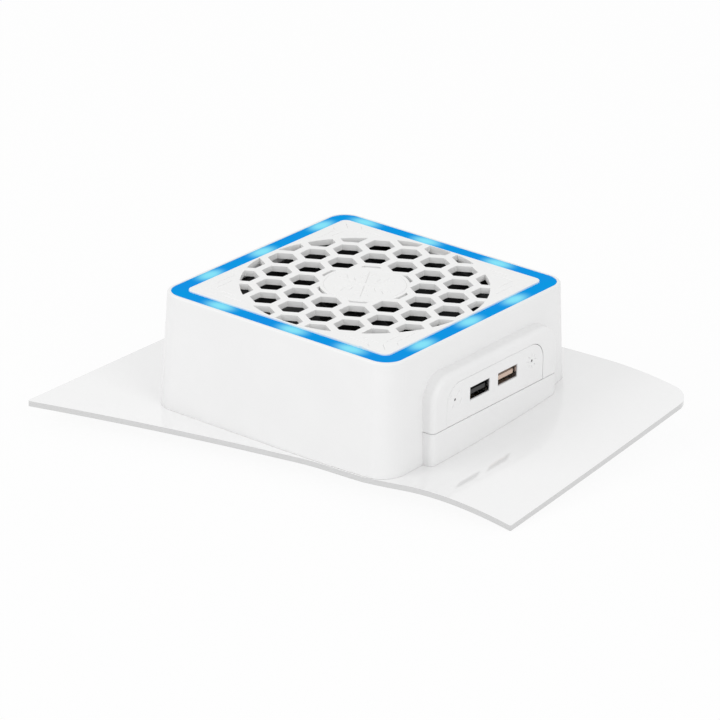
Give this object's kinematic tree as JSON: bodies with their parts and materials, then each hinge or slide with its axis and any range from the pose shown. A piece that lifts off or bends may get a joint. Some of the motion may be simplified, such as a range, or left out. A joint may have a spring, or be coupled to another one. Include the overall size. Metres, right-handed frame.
{
  "type": "console cooling fan",
  "caption": "Clip-on console side cover with a square fan housing, hexagon grille, light ring, axial fan and a twin USB port pod.",
  "frame": {"origin": "on the fan axis, at the lower face of the round air outlet collar under the cover", "axes": "+Z along the fan axis up to the grille, +X towards the side with the USB ports, along the cover's length, +Y towards the back edge"},
  "size_m": [0.2152, 0.1729, 0.0606],
  "materials": {
    "white_satin": "satin moulded plastic",
    "white_gloss": "polished moulded plastic",
    "light_guide": "translucent light guide, lit blue",
    "board_green": "solder mask",
    "diode": "clear lens, lit",
    "fan_black": "fine moulded satin",
    "yoke_steel": "drawn steel",
    "magnet": "bonded ferrite",
    "shaft_steel": "ground steel",
    "clip_nylon": "natural nylon",
    "bearing_bronze": "sintered bronze",
    "core_steel": "stacked laminations",
    "copper_wire": "enamelled winding",
    "rubber_pad": "soft moulded rubber",
    "screw_steel": "blackened steel",
    "port_steel": "plated shell",
    "tongue_black": "moulded tongue",
    "tongue_pale": "moulded tongue",
    "contact_gold": "gold flash",
    "clear_pipe": "clear light pipe"
  },
  "bodies": {
    "casing": {"air_duct": "white_gloss", "base_plate": "white_gloss", "bearing_sleeve": "bearing_bronze", "board_screws": "screw_steel", "fan_frame": "fan_black", "fan_pads": "rubber_pad", "fan_screws": "screw_steel", "grille_panel": "white_satin", "housing_screws": "screw_steel", "housing_shell": "white_satin", "inlet_board": "board_green", "inlet_screws": "screw_steel", "inlet_shell": "port_steel", "inlet_tongue": "tongue_black", "led_board": "board_green", "leds": "diode", "light_pipes": "clear_pipe", "light_ring": "light_guide", "motor_board": "board_green", "motor_mount": "fan_black", "pod_skirt": "white_satin", "port_bezel": "white_satin", "stator_core": "core_steel", "stator_windings": "copper_wire", "usb_board": "board_green", "usb_contacts": "contact_gold", "usb_shell_left": "port_steel", "usb_shell_right": "port_steel", "usb_tongue_left": "tongue_black", "usb_tongue_right": "tongue_pale"},
    "rotor": {"fan_impeller": "fan_black", "rotor_yoke": "yoke_steel", "rotor_magnet": "magnet", "fan_shaft": "shaft_steel", "shaft_clip": "clip_nylon"}
  },
  "joints": [
    {"name": "rotor_spin", "type": "hinge", "parent": "casing", "child": "rotor", "pos_m": [0, 0, 0.0395], "axis": [0, 0, 1], "continuous": true}
  ]
}
